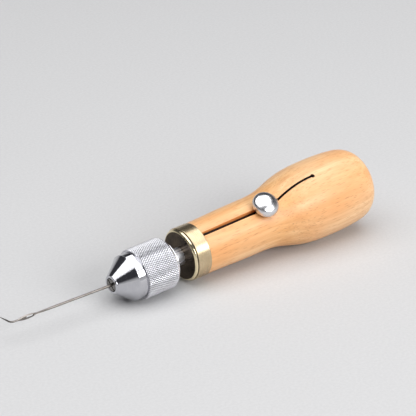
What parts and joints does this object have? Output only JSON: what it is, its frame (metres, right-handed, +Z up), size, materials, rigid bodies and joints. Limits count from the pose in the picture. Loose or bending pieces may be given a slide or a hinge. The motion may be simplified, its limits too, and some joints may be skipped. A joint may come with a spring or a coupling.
{
  "type": "sewing awl",
  "caption": "Leather sewing awl: wooden handle hollow for a thread bobbin, brass ferrule, knurled needle chuck with a bent eyed needle, and a domed thread-tension knob.",
  "frame": {"origin": "centre of the ferrule's front face, on the long axis, where the chuck plug seats", "axes": "+X along the handle from the chuck to the butt, +Z up; the needle's point is bent towards +Y and the thread groove is on the -Y side, 33 degrees from the top"},
  "size_m": [0.1647, 0.031, 0.031],
  "materials": {
    "beech": "satin lacquered beech",
    "ferrule_brass": "brushed pale brass",
    "inner_brass": "machined brass",
    "plug_brass": "polished brass",
    "fibre": "vulcanised fibre",
    "bright_steel": "polished nickel plate",
    "plain_steel": "turned steel",
    "collet_steel": "oiled spring steel",
    "nickel": "bright nickel, diamond knurled",
    "needle_steel": "polished needle steel",
    "bobbin_metal": "satin aluminium",
    "knob_chrome": "polished chrome"
  },
  "bodies": {
    "handle": {"wooden_handle": "beech", "ferrule": "ferrule_brass", "threaded_sleeve": "inner_brass", "tension_insert": "inner_brass"},
    "washer": {"fibre_washer": "fibre"},
    "chuck": {"chuck_plug": "plug_brass", "chuck_body": "bright_steel", "stop_ring": "bright_steel", "stem_nut": "plain_steel"},
    "collet": {"collet": "collet_steel"},
    "nut": {"chuck_nut": "nickel", "collet_ring": "plain_steel"},
    "needle": {"needle": "needle_steel"},
    "bobbin": {"bobbin_tube": "bobbin_metal", "bobbin_flange_front": "bobbin_metal", "bobbin_flange_rear": "bobbin_metal"},
    "tension_washer": {"tension_washer": "plain_steel"},
    "knob": {"tension_knob": "knob_chrome", "tension_screw": "plain_steel"}
  },
  "joints": [
    {"name": "chuck_travel", "type": "slide", "parent": "handle", "child": "washer", "axis": [-1, 0, 0], "range_m": [0, 0.006]},
    {"name": "chuck_turn", "type": "hinge", "parent": "washer", "child": "chuck", "pos_m": [0, 0, 0], "axis": [-1, 0, 0], "range_deg": [0, 2160]},
    {"name": "collet_travel", "type": "slide", "parent": "chuck", "child": "collet", "axis": [-1, 0, 0], "range_m": [0, 0.0016]},
    {"name": "nut_turn", "type": "hinge", "parent": "collet", "child": "nut", "pos_m": [0, 0, 0], "axis": [-1, 0, 0], "range_deg": [0, 720]},
    {"name": "needle_slide", "type": "slide", "parent": "collet", "child": "needle", "axis": [-1, 0, 0], "range_m": [0, 0.012]},
    {"name": "bobbin_spin", "type": "hinge", "parent": "handle", "child": "bobbin", "pos_m": [0.043, 0, 0], "axis": [1, 0, 0], "continuous": true},
    {"name": "tension_travel", "type": "slide", "parent": "handle", "child": "tension_washer", "axis": [0, -0.5446, 0.8387], "range_m": [0, 0.0014]},
    {"name": "tension_turn", "type": "hinge", "parent": "tension_washer", "child": "knob", "pos_m": [0.0351, 0, 0], "axis": [0, -0.5446, 0.8387], "range_deg": [0, 720]}
  ],
  "couplings": [
    {"joint": "chuck_turn", "follows": "chuck_travel", "rad_per_m": 6283},
    {"joint": "nut_turn", "follows": "collet_travel", "rad_per_m": 7853},
    {"joint": "tension_turn", "follows": "tension_travel", "rad_per_m": 8975}
  ]
}
